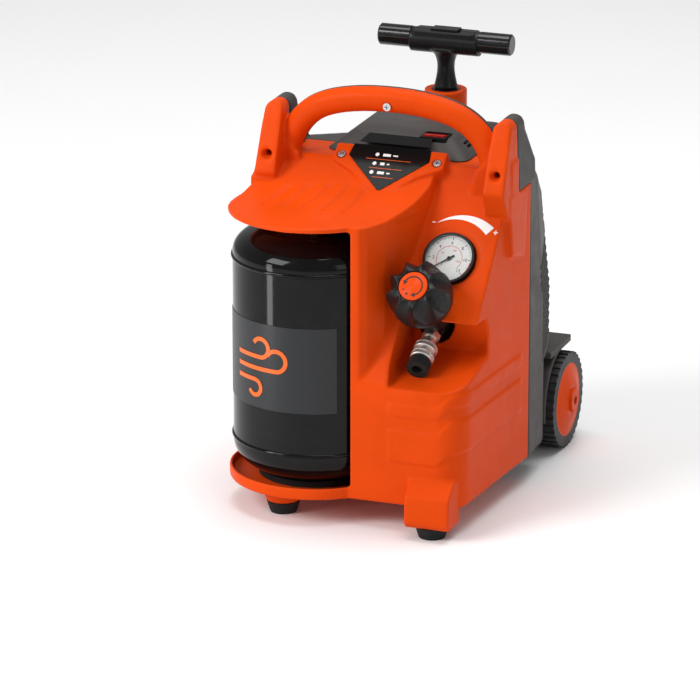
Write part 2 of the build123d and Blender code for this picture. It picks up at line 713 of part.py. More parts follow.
def stator_windings():
    left = ring(drum_x(-80, -68, SHAFT_Y, SHAFT_Z, 46), drum_x(-81, -67, SHAFT_Y, SHAFT_Z, 34))
    right = ring(drum_x(-10, 2, SHAFT_Y, SHAFT_Z, 46), drum_x(-11, 3, SHAFT_Y, SHAFT_Z, 34))
    return Compound(children=[left, right])


def rotor():
    return ring(drum_x(-66, -12, SHAFT_Y, SHAFT_Z, 30.4), drum_x(-67, -11, SHAFT_Y, SHAFT_Z, SHAFT_R))


def motor_shaft():
    return drum_x(-112, 26, SHAFT_Y, SHAFT_Z, SHAFT_R)


def motor_bracket():
    plate = drum_x(-90, -84, SHAFT_Y, SHAFT_Z, 50)
    for turn in range(4):
        spot = radians(45 + 90 * turn)
        plate += drum_x(-84, -68, SHAFT_Y + 48.5 * cos(spot), SHAFT_Z + 48.5 * sin(spot), 2.4)
    return plate - drum_x(-91, -83, SHAFT_Y, SHAFT_Z, 12)


def bearings():
    left = ring(drum_x(-91, -83, SHAFT_Y, SHAFT_Z, 12), drum_x(-92, -82, SHAFT_Y, SHAFT_Z, SHAFT_R + 0.03))
    right = ring(drum_x(7, 15, SHAFT_Y, SHAFT_Z, 12), drum_x(6, 16, SHAFT_Y, SHAFT_Z, SHAFT_R + 0.03))
    return Compound(children=[left, right])


def cooling_fan():
    fan = drum_x(-110, -96, SHAFT_Y, SHAFT_Z, 11)
    for blade in range(7):
        turn = Pos(-103, SHAFT_Y, SHAFT_Z) * Rot(360 * blade / 7, 0, 0)
        fan += turn * Pos(0, 0, 22) * Rot(0, 0, 35) * Box(13, 1.8, 26)
    return fan - drum_x(-120, -90, SHAFT_Y, SHAFT_Z, SHAFT_R)


def crankcase():
    low, high = SHAFT_Z - 34, SHAFT_Z + 40
    case = block(7, 68, SHAFT_Y - 33, SHAFT_Y + 33, low, high)
    case -= block(16, 80, SHAFT_Y - 29, SHAFT_Y + 29, low + 5, high - 5)
    case -= drum_z(PUMP_X, SHAFT_Y, high - 6, high + 1, BORE_R + 1)
    case -= block(62, 90, SHAFT_Y - 20, SHAFT_Y + 20, high - 60, high - 5)
    return case - drum_x(6, 17, SHAFT_Y, SHAFT_Z, 12)


def crank():
    web = drum_x(26.5, 34, SHAFT_Y, SHAFT_Z, 20)
    pin = drum_x(34, 40, SHAFT_Y, SHAFT_Z - CRANK_THROW, 7)
    hub = ring(drum_x(18, 26.5, SHAFT_Y, SHAFT_Z, 12), drum_x(17, 26.5, SHAFT_Y, SHAFT_Z, SHAFT_R))
    return web + pin + hub


def piston():
    """A wobble piston: its rod and head are one casting."""
    z = SHAFT_Z - CRANK_THROW
    big_end = drum_x(41, 53, SHAFT_Y, z, 15) - drum_x(40, 54, SHAFT_Y, z, 9)
    shank = block(43, 51, SHAFT_Y - 6, SHAFT_Y + 6, z + 13, 202.0)
    return big_end + shank + drum_z(PUMP_X, SHAFT_Y, 200.0, 209.5, BORE_R - 0.08)


def cylinder():
    low, high = SHAFT_Z + 40, 232.0
    form = drum_z(PUMP_X, SHAFT_Y, low, high, BORE_R + 3.5)
    for fin in range(5):
        form += drum_z(PUMP_X, SHAFT_Y, low + 4 + fin * 7, low + 6.2 + fin * 7, 35)
    return form - drum_z(PUMP_X, SHAFT_Y, low - 1, high + 1, BORE_R)


def cylinder_head():
    head = block(PUMP_X - 32, PUMP_X + 32, SHAFT_Y - 32, SHAFT_Y + 32, 232, 252)
    for fin in range(7):
        y = SHAFT_Y - 30 + fin * 10
        if abs(y - 40) > 8:
            head += block(PUMP_X - 30, PUMP_X + 30, y - 1.2, y + 1.2, 252, 264)
    head += drum_z(PUMP_X, 40, 252, 267, 6.5) - drum_z(PUMP_X, 40, 262, 268, 2.6)
    return head


def intake_filter():
    body = drum_x(80, 100, SHAFT_Y, 250, 15)
    return body + drum_x(79, 80, SHAFT_Y, 250, 2)


def run_capacitor():
    return drum_x(-88, -22, 84, 262, 18) + drum_x(-22, -14, 84, 262, 4)


def pump_base():
    plate = block(-72, 66, 12, 100, 42, 46)
    for x in (-60, -26):
        saddle = block(x, x + 8, 22, 86, 46, 130) - drum_x(x - 1, x + 9, SHAFT_Y, SHAFT_Z, 52)
        plate += saddle
    return plate + block(30, 60, 30, 78, 46, SHAFT_Z - 34)


def pump_mounts():
    spots = [(-64, 24), (-64, 66), (58, 24), (58, 66)]
    return Compound(children=[drum_z(x, y, BASE_Z + WALL, 42, 8) for x, y in spots])


def cord_gland():
    gland = drum_y(60, 142, 162, 74, 8.0) + drum_y(60, BACK_Y, 156, 74, 12.0)
    return gland - drum_y(60, 140, 164, 74, 3.8)


# ---- pull-up handle ----
def guide_tube():
    return ring(drum_z(0, STEM_Y, 64, 366, GUIDE_R), drum_z(0, STEM_Y, 63, 367, GUIDE_BORE_R))


def handle_sleeve():
    sleeve = drum_z(0, STEM_Y, 318, 370, 21.5)
    sleeve -= drum_z(0, STEM_Y, 317, 366, GUIDE_R)
    return sleeve - drum_z(0, STEM_Y, 366, 371, 14.0)


def lock_collar():
    return ring(drum_z(0, STEM_Y, 366, 370.5, 14.0), drum_z(0, STEM_Y, 365, 371, STEM_R + 0.2))


def stem():
    return ring(drum_z(0, STEM_Y, 84, 418, STEM_R), drum_z(0, STEM_Y, 83, 412, STEM_R - 1.5))


def grip_core():
    body = drum_x(-CORE_HALF, CORE_HALF, STEM_Y, BAR_Z - 2, 12.5)
    body += block(-CORE_HALF + 4, CORE_HALF - 4, STEM_Y - 11, STEM_Y + 11, BAR_Z - 8, BAR_Z + 10)
    waist = [Line((0, 371), (12.0, 371)), Line((12.0, 371), (12.0, 373)),
             Spline((12.0, 373), (8.8, 392), (10.4, 403), (17.0, 412)), Line((17.0, 412), (0, 412)),
             Line((0, 412), (0, 371))]
    body += Pos(0, STEM_Y, 0) * revolve(Plane.XZ * make_face(waist), Axis.Z)
    body += drum_x(-BAR_HALF + 4, BAR_HALF - 4, STEM_Y, BAR_Z, 6)
    body -= drum_z(0, STEM_Y, 370, 418, STEM_R)
    return body - block(-14.4, 14.4, STEM_Y - 7.4, STEM_Y + 7.4, BAR_Z + 3, BAR_Z + 20)


def grip(side):
    form = drum_x(CORE_HALF, BAR_HALF, STEM_Y, BAR_Z, GRIP_R)
    form -= drum_x(CORE_HALF - 1, BAR_HALF - 4, STEM_Y, BAR_Z, 6)
    form = chamfer(form.edges().filter_by(GeomType.CIRCLE).group_by(Axis.X)[-1], 1.5)
    return form if side > 0 else mirror(form, Plane.YZ)


def latch_button():
    return block(-14, 14, STEM_Y - 7, STEM_Y + 7, BAR_Z + 6.2, BAR_Z + 12)


# ---- wheels and feet ----
def tyre(side):
    form = ring(drum_x(WHEEL_IN_X, WHEEL_OUT_X, WHEEL_Y, WHEEL_R, WHEEL_R - 1.5),
                drum_x(WHEEL_IN_X - 1, WHEEL_OUT_X + 1, WHEEL_Y, WHEEL_R, RIM_R))
    middle = (WHEEL_IN_X + WHEEL_OUT_X) / 2
    for rib in range(36):
        turn = Pos(middle, WHEEL_Y, WHEEL_R) * Rot(360 * rib / 36, 0, 0)
        form += turn * Pos(0, 0, WHEEL_R - 1.75) * Box(WHEEL_OUT_X - WHEEL_IN_X, 4.2, 3.5)
    form &= drum_x(WHEEL_IN_X, WHEEL_OUT_X, WHEEL_Y, WHEEL_R, WHEEL_R)
    return form if side > 0 else mirror(form, Plane.YZ)


def wheel_hub(side):
    form = drum_x(WHEEL_IN_X, WHEEL_OUT_X, WHEEL_Y, WHEEL_R, RIM_R)
    form -= ring(drum_x(WHEEL_IN_X - 1, WHEEL_OUT_X - 12, WHEEL_Y, WHEEL_R, RIM_R - 4),
                 drum_x(WHEEL_IN_X - 2, WHEEL_OUT_X - 10, WHEEL_Y, WHEEL_R, 12))
    form += Pos(WHEEL_OUT_X, WHEEL_Y, WHEEL_R) * Rot(0, 90, 0) * Cone(RIM_R - 2, 18.0, 5.0, align=UP)
    form += drum_x(WHEEL_OUT_X, WHEEL_OUT_X + 8, WHEEL_Y, WHEEL_R, 12)
    form -= drum_x(WHEEL_IN_X - 2, WHEEL_OUT_X + 4, WHEEL_Y, WHEEL_R, AXLE_R + 0.06)
    form -= drum_x(WHEEL_IN_X - 2, WHEEL_OUT_X + 9, WHEEL_Y, WHEEL_R, 5.0)
    return form if side > 0 else mirror(form, Plane.YZ)


def axle():
    return drum_x(-WHEEL_OUT_X - 2, WHEEL_OUT_X + 2, WHEEL_Y, WHEEL_R, AXLE_R)


def rubber_foot(x, y):
    return Pos(x, y, 0) * Cone(13.0, 17.0, 12.0, align=UP)


NODES = {
    "front_shell": front_shell, "rear_shell": rear_shell, "top_cover": top_cover, "label_panel": label_panel,
    "handle_back": handle_back, "housing_screws": housing_screws,
    "air_tank": air_tank, "tank_label": tank_label, "tank_cushion": tank_cushion, "drain_valve": drain_valve,
    "drain_knob": drain_knob, "check_valve": check_valve,
    "delivery_pipe": delivery_pipe, "outlet_hose": outlet_hose, "manifold": manifold,
    "safety_valve": safety_valve, "safety_pull": safety_pull, "pressure_switch": pressure_switch,
    "switch_rocker": switch_rocker,
    "gauge_case": gauge_case, "gauge_dial": gauge_dial, "gauge_needle": gauge_needle,
    "gauge_lens": gauge_lens,
    "regulator_body": regulator_body, "regulator_knob": regulator_knob, "knob_cap": knob_cap,
    "coupler_body": coupler_body, "coupler_sleeve": coupler_sleeve, "coupler_tip": coupler_tip,
    "stator": stator, "stator_windings": stator_windings, "rotor": rotor, "motor_shaft": motor_shaft,
    "motor_bracket": motor_bracket, "bearings": bearings, "cooling_fan": cooling_fan, "crankcase": crankcase,
    "crank": crank, "piston": piston, "cylinder": cylinder,
    "cylinder_head": cylinder_head,
    "intake_filter": intake_filter, "run_capacitor": run_capacitor, "pump_base": pump_base,
    "pump_mounts": pump_mounts, "cord_gland": cord_gland,
    "guide_tube": guide_tube, "handle_sleeve": handle_sleeve, "lock_collar": lock_collar, "stem": stem,
    "grip_core": grip_core, "latch_button": latch_button, "axle": axle,
}
SIDES = {"left": -1, "right": 1}


def main():
    os.makedirs("parts", exist_ok=True)
    pieces = {name: make() for name, make in NODES.items()}
    for name, side in SIDES.items():
        pieces["tyre_" + name] = tyre(side)
        pieces["wheel_hub_" + name] = wheel_hub(side)
    pieces["hand_grips"] = Compound(children=[grip(-1), grip(1)])
    pieces["rubber_feet"] = Compound(children=[rubber_foot(-72, -146), rubber_foot(91, -166)])
    for name, shape in pieces.items():
        export_step(shape, "parts/" + name + ".step")


main()
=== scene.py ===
import bmesh
import bpy
import json
from math import atan2, cos, pi, radians, sin, sqrt
from mathutils import Matrix, Vector


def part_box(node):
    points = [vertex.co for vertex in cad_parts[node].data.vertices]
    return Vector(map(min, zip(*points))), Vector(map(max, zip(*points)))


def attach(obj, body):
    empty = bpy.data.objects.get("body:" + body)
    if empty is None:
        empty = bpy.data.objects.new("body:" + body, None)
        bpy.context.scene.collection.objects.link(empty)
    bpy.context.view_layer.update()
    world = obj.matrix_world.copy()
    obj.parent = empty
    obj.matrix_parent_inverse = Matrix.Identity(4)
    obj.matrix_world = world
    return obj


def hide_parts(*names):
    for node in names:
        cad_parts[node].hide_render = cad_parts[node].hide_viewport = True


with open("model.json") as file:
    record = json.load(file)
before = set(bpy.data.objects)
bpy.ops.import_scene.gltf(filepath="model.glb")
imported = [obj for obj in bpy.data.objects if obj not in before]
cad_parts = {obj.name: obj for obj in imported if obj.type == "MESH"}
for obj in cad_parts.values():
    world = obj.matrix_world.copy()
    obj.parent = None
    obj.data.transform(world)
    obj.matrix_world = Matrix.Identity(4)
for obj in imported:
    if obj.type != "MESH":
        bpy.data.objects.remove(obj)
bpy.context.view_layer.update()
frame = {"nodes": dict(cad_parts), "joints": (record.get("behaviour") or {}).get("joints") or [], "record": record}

# Portable air compressor: the looks. Metres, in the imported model's own frame.
# +X is to the right of someone facing the front, +Y runs to the back, +Z is up.
# Small details are given in millimetres and multiplied by MM where they become points.

MM = 0.001

# ---- camera: a long lens, a little to the right of the front and above ----
VIEW_AZIMUTH, VIEW_ELEVATION = 20.24, 18.0
VIEW_DISTANCE = 5.0
LENS_MM = 256.9
SENSOR_MM = 36.0
AIM_HEIGHT = 0.2
AIM_LEFT, AIM_DOWN = 0.0522, 0.0661

# ---- light: name, place, width, height and power of each soft box ----
WORLD_STRENGTH = 0.36
SOFT_BOXES = (("key", (-2.2, -2.6, 2.6), 1.8, 1.8, 96),
              ("fill", (2.6, -1.6, 1.2), 1.2, 1.6, 8),
              ("top", (0.2, 0.4, 3.4), 2.6, 2.6, 90),
              ("tank_strip", (-0.42, -0.52, 0.21), 0.08, 0.34, 0.75))
FLOOR_HALF = 30.0

# ---- softened mouldings ----
SHELL_VOXEL = 1.4 * MM
TRIM_VOXEL = 1.1 * MM
CRISP_ANGLE = 38

# ---- the latch button's pocket in the T handle ----
POCKET_GAP = 0.35 * MM
POCKET_DEPTH = 3.0 * MM

# ---- gauge dial, in millimetres and degrees from straight up ----
DIAL_R, DIAL_HOLE_R, DIAL_THICK = 23.6, 1.3, 0.7
DIAL_LIFT = 0.4
DIAL_END = 135
SCALE_R, INNER_SCALE_R = 22.2, 13.2
LONG_TICK, MIDDLE_TICK, SHORT_TICK = 2.8, 1.8, 1.0
BOLD_LINE, FINE_LINE, RED_LINE = 0.6, 0.28, 0.25
NUMBER_R, NUMBER_SIZE = 16.3, 4.6
INNER_NUMBER_R, INNER_NUMBER_SIZE, INNER_NUMBER_STEP = 9.3, 2.8, 79.4
RED_ZONE_R, RED_ZONE_START = 22.4, 96

# ---- regulator knob, in millimetres ----
KNOB_LOBES, KNOB_LENGTH = 9, 44.0
KNOB_REAR = -43.5
KNOB_ROWS, KNOB_SEGMENTS = 40, 216
SCOOP_DEPTH, SCOOP_START, SCOOP_RISE, SCOOP_RUN = 8.2, 12, 29, 32.0
SCOOP_INNER_R, SCOOP_FADE = 15, 9
CAP_LIFT, CAP_R = 1.5, 14.4
ARROW_R, ARROW_START, ARROW_END = 9.4, -62, 158

# ---- white crescent over the gauge, in millimetres and degrees ----
CRESCENT_SINK = -1.0
CRESCENT_R, CRESCENT_DRIFT = 41.2, 6.4
CRESCENT_START, CRESCENT_SWEEP = -29, 76
CRESCENT_TIP, CRESCENT_GROWTH = 0.3, 10.0

# ---- quick coupler's sliding ring, in millimetres from the coupler's root ----
COUPLER_LENGTH = 28
RING_TEETH, TOOTH_DEPTH = 54, 0.55
RING_BORE_R, RING_R, RING_WAIST_R = 8.15, 11.7, 10.0
KNURLS = ((20.8, 25.2), (32.8, 37.2))

# ---- label, sticker and film, in millimetres ----
LABEL_THICK, LABEL_RISE, LABEL_RUN = 1.6, 34, 45
# Each row's place up the label, with the lengths of its thick and its thin bar.
LABEL_ROWS = ((22, (7, 3.5)), (33, (4.5, 2.5)), (44, (8, 5)))
BAR_WIDTHS, BAR_START, BAR_GAP = (3.2, 1.6), -7, 2.5
DOT_X, DOT_R = -13, 2.2
UNDERLINE_DROP, UNDERLINE_SPREAD, UNDERLINE_WIDTH = 5.6, 0.55, 0.5
STICKER_R = 82.6
SIGN_START, SIGN_WIDTH = -63.0, 4.2
# Each line's height, straight length, curl radius, and whether it curls up (1) or down (-1).
SIGN_LINES = ((9, 34, 9.5, 1), (-3, 52, 10.5, 1), (-15, 26, 8, -1))
CURL_START, CURL_SWEEP = -90, 245
# Each edge's distance behind the cover's front, its height and its half width.
FILM_EDGES = ((0.4, 350.2, 37), (17, 355.1, 33))
FILM_LOW, FILM_HIGH = 0.05, 0.35

# ---- colours, linear ----
ORANGE = (0.68, 0.060, 0.003)
DARK_GREY = (0.062, 0.056, 0.053)
WHITE = (0.85, 0.85, 0.83)


# ---------------------------------------------------------------- the frame
def joint(name):
    """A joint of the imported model, by name."""
    return next(j for j in frame["joints"] if j["name"] == name)


def mount(name):
    """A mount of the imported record, by name."""
    return next(m for m in frame["record"]["mounts"] if m["name"] == name)


def centre_of(node):
    """The middle of a CAD node's box."""
    low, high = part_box(node)
    return (Vector(low) + Vector(high)) / 2


def oriented(origin, normal, across=(1, 0, 0)):
    """A frame at origin whose Z is the normal and whose X lies along across."""
    z = Vector(normal).normalized()
    x = Vector(across)
    x = (x - z * x.dot(z)).normalized()
    turn = Matrix((x, z.cross(x), z)).transposed().to_4x4()
    return Matrix.Translation(Vector(origin)) @ turn


# ---------------------------------------------------------------- material nodes
def new_material(name):
    """A material with its node tree and its shader."""
    material = bpy.data.materials.new(name)
    material.use_nodes = True
    tree = material.node_tree
    return material, tree, tree.nodes["Principled BSDF"]


def add_node(tree, kind, **inputs):
    """A node with its inputs set, each named with _ for a space."""
    node = tree.nodes.new(kind)
    for key, value in inputs.items():
        node.inputs[key.replace("_", " ")].default_value = value
    return node


def noise(tree, scale, detail=3.0, rough=0.5):
    """A noise on the piece's own coordinates, from 0 to 1."""
    coordinates = tree.nodes.new("ShaderNodeTexCoord")
    node = add_node(tree, "ShaderNodeTexNoise", Scale=scale, Detail=detail, Roughness=rough)
    tree.links.new(coordinates.outputs["Object"], node.inputs["Vector"])
    return node.outputs["Fac"]


def ranged(tree, source, low, high, from_low=0.3, from_high=0.7):
    """A value spread from one range over another."""
    node = add_node(tree, "ShaderNodeMapRange",
                    From_Min=from_low, From_Max=from_high, To_Min=low, To_Max=high)
    tree.links.new(source, node.inputs["Value"])
    return node.outputs["Result"]


def mixed(tree, factor, first, second):
    """A colour between two. Each is a colour or another node's output."""
    node = tree.nodes.new("ShaderNodeMix")
    node.data_type = "RGBA"
    tree.links.new(factor, node.inputs["Factor"])
    for socket, value in ((node.inputs[6], first), (node.inputs[7], second)):
        if isinstance(value, tuple):
            socket.default_value = (*value, 1)
        else:
            tree.links.new(value, socket)
    return node.outputs[2]


def shade(colour, amount):
    """A colour made darker or lighter."""
    return tuple(min(1.0, c * amount) for c in colour)


def highlight_tint(colour):
    """A colour paled for the painted edge highlight."""
    return tuple(c * 0.6 + 0.28 for c in colour)


def paint(tree, shader, colour):
    """Sets the shader's base colour from a node's output."""
    tree.links.new(colour, shader.inputs["Base Color"])


def roughen(tree, shader, source, low, high):
    """Spreads the shader's roughness between two values."""
    tree.links.new(ranged(tree, source, low, high), shader.inputs["Roughness"])


def add_bump(tree, shader, height, strength, distance=0.1 * MM):
    """A fine relief on the shader's normal."""
    bump = add_node(tree, "ShaderNodeBump", Strength=strength, Distance=distance)
    tree.links.new(height, bump.inputs["Height"])
    tree.links.new(bump.outputs["Normal"], shader.inputs["Normal"])


# ---------------------------------------------------------------- materials
def moulded(name, colour, rough=0.36, grain=0.12, grain_scale=2600.0, edge_highlight=0.0, spread=0.05, gloss=0.4):
    """Injection-moulded plastic: faint mottling, a fine grain, and a painted highlight that pales the convex
    edges.
    """
    material, tree, shader = new_material(name)
    mottle = ranged(tree, noise(tree, scale=22.0, detail=4.0), 0, 1)
    base = mixed(tree, mottle, shade(colour, 1 - spread), shade(colour, 1 + spread))
    if edge_highlight:
        # Painted highlight: edges picked out by pointiness are mixed towards a paler colour.
        edge = tree.nodes.new("ShaderNodeNewGeometry")
        edge_lit = ranged(tree, edge.outputs["Pointiness"], 0.0, edge_highlight, from_low=0.52, from_high=0.60)
        base = mixed(tree, edge_lit, base, highlight_tint(colour))
    paint(tree, shader, base)
    roughen(tree, shader, noise(tree, scale=60.0, detail=5.0), rough - 0.05, rough + 0.07)
    add_bump(tree, shader, noise(tree, grain_scale, detail=2.0), grain)
    shader.inputs["Specular IOR Level"].default_value = gloss
    return material


def metal(name, colour, rough=0.25, streaks=400.0, bump=0.05):
    """Plated or machined metal with fine streaks and a few duller patches."""
    material, tree, shader = new_material(name)
    shader.inputs["Metallic"].default_value = 1.0
    tint = ranged(tree, noise(tree, scale=90.0, detail=4.0), 0, 1)
    paint(tree, shader, mixed(tree, tint, shade(colour, 0.86), shade(colour, 1.06)))
    grain = noise(tree, streaks, detail=4.0, rough=0.6)
    roughen(tree, shader, grain, rough - 0.07, rough + 0.12)
    add_bump(tree, shader, grain, bump)
    return material


def enamel(name, colour):
    """Gloss stove enamel with a slight orange-peel and dust."""
    material, tree, shader = new_material(name)
    dust = noise(tree, scale=70.0, detail=6.0, rough=0.65)
    dusty = ranged(tree, dust, 0, 1, from_low=0.45, from_high=0.8)
    paint(tree, shader, mixed(tree, dusty, colour, shade(colour, 2.2)))
    roughen(tree, shader, dust, 0.06, 0.14)
    shader.inputs["Specular IOR Level"].default_value = 0.12
    shader.inputs["Coat Weight"].default_value = 0.15
    shader.inputs["Coat Roughness"].default_value = 0.03
    add_bump(tree, shader, noise(tree, scale=170.0, detail=1.0), 0.05, distance=0.15 * MM)
    return material


def rubber(name, colour, rough=0.75):
    """Soft rubber: matt, with a powdery bloom in patches."""
    material, tree, shader = new_material(name)
    bloom = noise(tree, scale=45.0, detail=6.0, rough=0.6)
    powdery = ranged(tree, bloom, 0, 1, from_low=0.4, from_high=0.75)
    paint(tree, shader, mixed(tree, powdery, colour, shade(colour, 2.0)))
    roughen(tree, shader, bloom, rough - 0.1, rough + 0.1)
    shader.inputs["Specular IOR Level"].default_value = 0.25
    add_bump(tree, shader, noise(tree, scale=1500.0), 0.2)
    return material


def film(name, colour, rough=0.3, gloss=0.3):
    """Printed film or ink: an almost even colour with a faint speckle in its gloss."""
    material, tree, shader = new_material(name)
    speckle = noise(tree, scale=700.0, detail=2.0)
    paint(tree, shader, mixed(tree, ranged(tree, speckle, 0, 1), shade(colour, 0.96), shade(colour, 1.04)))
    roughen(tree, shader, speckle, rough - 0.04, rough + 0.05)
    shader.inputs["Specular IOR Level"].default_value = gloss
    return material


def clear_lens(name):
    """The gauge's thin clear window, with a little haze."""
    material, tree, shader = new_material(name)
    shader.inputs["Transmission Weight"].default_value = 1.0
    shader.inputs["IOR"].default_value = 1.15
    haze = noise(tree, scale=300.0)
    roughen(tree, shader, haze, 0.0, 0.03)
    paint(tree, shader, mixed(tree, haze, (0.97, 0.98, 0.98), (1.0, 1.0, 1.0)))
    return material


# One material for each of the record's slots.
MATERIALS = {
    # The orange and grey shells carry the painted edge highlight.
    "orange_shell": moulded("orange_shell", ORANGE, grain=0.10, edge_highlight=0.06, gloss=0.05),
    "grey_shell": moulded("grey_shell", DARK_GREY, rough=0.5, grain=0.25, grain_scale=1500.0,
                          edge_highlight=0.05, spread=0.10, gloss=0.2),
    "label_film": film("label_film", (0.006, 0.006, 0.006), rough=0.16, gloss=0.12),
    "zinc_screw": metal("zinc_screw", (0.62, 0.62, 0.64), rough=0.28),
    "black_enamel": enamel("black_enamel", (0.003, 0.003, 0.003)),
    "rubber": rubber("rubber", (0.009, 0.009, 0.009)),
    "brass_fitting": metal("brass_fitting", (0.70, 0.48, 0.20), rough=0.3),
    "copper_pipe": metal("copper_pipe", (0.72, 0.33, 0.18), rough=0.3),
    "air_hose": rubber("air_hose", (0.02, 0.02, 0.02), rough=0.5),
    "steel_ring": metal("steel_ring", (0.74, 0.72, 0.68), rough=0.42),
    "black_plastic": moulded("black_plastic", (0.007, 0.007, 0.007), rough=0.32, grain=0.10,
                             grain_scale=1800.0, spread=0.15, gloss=0.22),
    "grip_plastic": moulded("grip_plastic", (0.006, 0.006, 0.006), rough=0.14, grain=0.03,
                            grain_scale=900.0, gloss=0.5),
    "red_rocker": moulded("red_rocker", (0.55, 0.018, 0.012), rough=0.3, grain=0.06),
    "dial_face": film("dial_face", WHITE, rough=0.5),
    "needle_black": film("needle_black", (0.012, 0.012, 0.012), rough=0.4),
    "clear_lens": clear_lens("clear_lens"),
    "nickel": metal("nickel", (0.78, 0.75, 0.69), rough=0.40, streaks=500.0),
    "core_steel": metal("core_steel", (0.33, 0.33, 0.35), rough=0.42, streaks=900.0, bump=0.3),
    "winding_copper": metal("winding_copper", (0.55, 0.22, 0.10), rough=0.35, streaks=1200.0, bump=0.5),
    "cast_aluminium": metal("cast_aluminium", (0.55, 0.56, 0.57), rough=0.48, streaks=700.0, bump=0.35),
    "shaft_steel": metal("shaft_steel", (0.5, 0.5, 0.52), rough=0.22),
    "base_steel": enamel("base_steel", (0.03, 0.03, 0.03)),
    "black_tube": enamel("black_tube", (0.012, 0.012, 0.013)),
    "tyre_plastic": rubber("tyre_plastic", (0.022, 0.022, 0.023), rough=0.5),
}
INK_WHITE = film("ink_white", (0.86, 0.86, 0.85), rough=0.35)
INK_ORANGE = film("ink_orange", (0.85, 0.13, 0.012))
INK_BLACK = film("ink_black", (0.01, 0.01, 0.01), rough=0.4)
INK_RED = film("ink_red", (0.62, 0.02, 0.015), rough=0.4)
COVER_FILM = film("sticker", (0.006, 0.006, 0.006), rough=0.14, gloss=0.16)
TANK_STICKER = film("tank_sticker", (0.020, 0.021, 0.023), rough=0.36)


def dress_cad_nodes():
    """Gives every CAD node its slot's material. The tank's sticker is a greyer film than the label."""
    for part in frame["record"]["subparts"]:
        node = frame["nodes"][part["node"]]
        node.data.materials.clear()
        node.data.materials.append(MATERIALS[part["material_slot"]])
    frame["nodes"]["tank_label"].data.materials[0] = TANK_STICKER


# ---------------------------------------------------------------- mesh tools
def shade_by_angle(mesh, degrees=CRISP_ANGLE):
    """Smooth faces, with edges sharper than the angle kept crisp."""
    work = bmesh.new()
    work.from_mesh(mesh)
    limit = radians(degrees)
    for face in work.faces:
        face.smooth = True
    for edge in work.edges:
        if len(edge.link_faces) == 2:
            edge.smooth = edge.calc_face_angle(0) < limit
    work.to_mesh(mesh)
    work.free()


def add_piece(name, mesh, material, body, slot, nodes=()):
    """A visible piece that rides on a body, and stands for the CAD nodes that it replaces."""
    piece = bpy.data.objects.new(name, mesh)
    bpy.context.scene.collection.objects.link(piece)
    mesh.materials.clear()
    mesh.materials.append(material)
    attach(piece, body)
    if nodes:
        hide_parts(*nodes)


def mesh_from(name, points, faces, place=Matrix.Identity(4)):
    """A closed mesh from points in metres, with its normals outwards."""
    mesh = bpy.data.meshes.new(name)
    mesh.from_pydata([place @ Vector(p) for p in points], [], faces)
    work = bmesh.new()
    work.from_mesh(mesh)
    bmesh.ops.remove_doubles(work, verts=work.verts, dist=1e-7)
    bmesh.ops.recalc_face_normals(work, faces=work.faces)
    work.to_mesh(mesh)
    work.free()
    shade_by_angle(mesh)
    return mesh


def lathe(name, profile, place, segments=96, reshape=None, closed=False):
    """Turns a list of (radius, height) in millimetres about the local Z.

    reshape(radius, height, turn) gives a new radius. A closed profile joins its last point to its first."""
    points, faces = [], []
    for radius, height in profile:
        for step in range(segments):
            turn = 2 * pi * step / segments
            reach = reshape(radius, height, turn) if reshape else radius
            points.append(Vector((reach * cos(turn), reach * sin(turn), height)) * MM)
    rows = len(profile)
    for row in range(rows if closed else rows - 1):
        a, b = row * segments, (row + 1) % rows * segments
        for step in range(segments):
            after = (step + 1) % segments
            faces.append((a + step, a + after, b + after, b + step))
    return mesh_from(name, points, faces, place)


def loose_object(mesh):
    """An object to work on, which is no piece."""
    work = bpy.data.objects.new("work", mesh)
    bpy.context.scene.collection.objects.link(work)
    return work


def evaluated(work, name):
    """The mesh of an object with its modifiers applied. The object is then removed."""
    bpy.context.view_layer.update()
    graph = bpy.context.evaluated_depsgraph_get()
    mesh = bpy.data.meshes.new_from_object(work.evaluated_get(graph))
    bpy.data.objects.remove(work)
    mesh.name = name
    return mesh


def joined(name, meshes):
    """Several meshes in one."""
    work = bmesh.new()
    for mesh in meshes:
        work.from_mesh(mesh)
    mesh = bpy.data.meshes.new(name)
    work.to_mesh(mesh)
    work.free()
    return mesh


def softened(node, name, voxel, passes):
    """A CAD node remeshed finely and smoothed, so that its edges look moulded."""
    source = frame["nodes"][node]
    mesh = source.data.copy()
    mesh.transform(source.matrix_world)
    work = loose_object(mesh)
    remesh = work.modifiers.new("remesh", "REMESH")
    remesh.mode = "VOXEL"
    remesh.voxel_size = voxel
    smooth = work.modifiers.new("smooth", "SMOOTH")
    smooth.factor = 0.5
    smooth.iterations = passes
    result = evaluated(work, name)
    for polygon in result.polygons:
        polygon.use_smooth = True
    return result


def pocketed(mesh, node):
    """The mesh with a clean pocket for a node that presses down into it."""
    low, high = (Vector(corner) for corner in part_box(node))
    room = Vector((POCKET_GAP, POCKET_GAP, POCKET_DEPTH))
    low -= room
    high += room
    corners = [(x, y, z) for z in (low.z, high.z) for y in (low.y, high.y) for x in (low.x, high.x)]
    faces = [(0, 2, 3, 1), (4, 5, 7, 6), (0, 1, 5, 4), (2, 6, 7, 3), (0, 4, 6, 2), (1, 3, 7, 5)]
    cutter = loose_object(mesh_from("pocket", corners, faces))
    work = loose_object(mesh)
    cut = work.modifiers.new("pocket", "BOOLEAN")
    cut.operation = "DIFFERENCE"
    cut.solver = "EXACT"
    cut.object = cutter
    result = evaluated(work, mesh.name)
    bpy.data.objects.remove(cutter)
    shade_by_angle(result)
    return result


